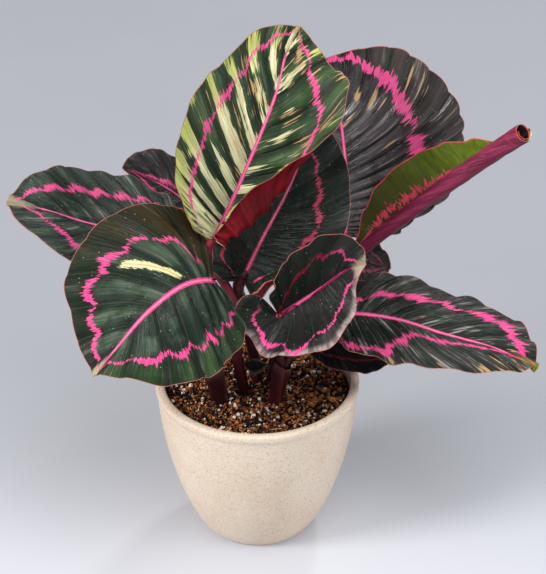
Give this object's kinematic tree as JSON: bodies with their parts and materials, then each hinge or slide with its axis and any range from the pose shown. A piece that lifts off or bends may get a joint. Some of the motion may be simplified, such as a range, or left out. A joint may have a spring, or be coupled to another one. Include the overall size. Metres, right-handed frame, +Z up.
{
  "type": "potted calathea",
  "caption": "Rose-painted calathea with broad dark leaves ringed in pink, one leaf still rolled, on sheathed stalks in a round cream ceramic pot of potting mix.",
  "frame": {"origin": "centre of the pot's flat foot, on the surface it stands on", "axes": "+Z up the pot's axis, -Y to the plant's front, +X to the right as seen from the front"},
  "size_m": [0.3364, 0.19, 0.3437],
  "materials": {
    "glazed_ceramic": "satin cream glaze with fine brown speckle",
    "potting_mix": "coarse bark and coir fibre with perlite",
    "leaf_dark": "glossy blade, near-black green with a pink zigzag ring and midrib",
    "leaf_pale": "glossy blade, streaked cream and green with a pink ring",
    "leaf_purple": "glossy blade, purple-black with a pink ring",
    "leaf_underside": "satin wine red",
    "stalk": "satin wine red to pink",
    "stem_sheath": "satin dark burgundy",
    "dry_bract": "dry, dark and papery"
  },
  "bodies": {
    "root": {"pot": "glazed_ceramic", "potting_mix": "potting_mix", "leaf_front_left": "leaf_dark", "leaf_top": "leaf_pale", "leaf_centre": "leaf_dark", "leaf_low_centre": "leaf_dark", "leaf_right": "leaf_dark", "leaf_right_low": "leaf_purple", "leaf_back_right": "leaf_purple", "leaf_left": "leaf_dark", "leaf_left_back": "leaf_purple", "leaf_right_back_small": "leaf_purple", "leaf_rolled": "leaf_underside", "stalk_front_left": "stalk", "stalk_top": "stalk", "stalk_centre": "stalk", "stalk_low_centre": "stalk", "stalk_right": "stalk", "stalk_right_low": "stalk", "stalk_back_right": "stalk", "stalk_left": "stalk", "stalk_left_back": "stalk", "stalk_right_back_small": "stalk", "stalk_rolled": "stalk", "stem_left": "stem_sheath", "stem_right": "stem_sheath", "bract": "dry_bract"}
  },
  "joints": []
}
